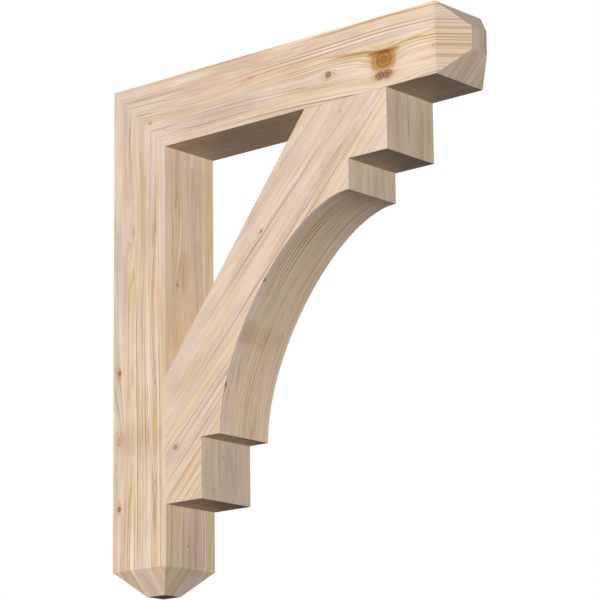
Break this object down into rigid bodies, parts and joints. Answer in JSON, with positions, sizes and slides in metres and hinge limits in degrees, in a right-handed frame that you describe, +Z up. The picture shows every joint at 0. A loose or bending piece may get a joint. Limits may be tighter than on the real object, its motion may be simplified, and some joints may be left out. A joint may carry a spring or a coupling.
{
  "type": "wooden corbel bracket",
  "caption": "Wooden corbel bracket: a square wall post, a square beam standing out from its top, and a solid curved brace between them.",
  "frame": {"origin": "centre of the flat back face of the post, which lies on the wall", "axes": "+X out from the wall along the beam, +Z up along the post, +Y across the width"},
  "size_m": [0.8636, 0.1396, 1.016],
  "materials": {
    "post_wood": "planed bare softwood, satin to matt",
    "beam_wood": "planed bare softwood, satin to matt",
    "brace_wood": "planed bare softwood, satin to matt"
  },
  "bodies": {
    "root": {"post": "post_wood", "beam": "beam_wood", "brace": "brace_wood"}
  },
  "joints": []
}
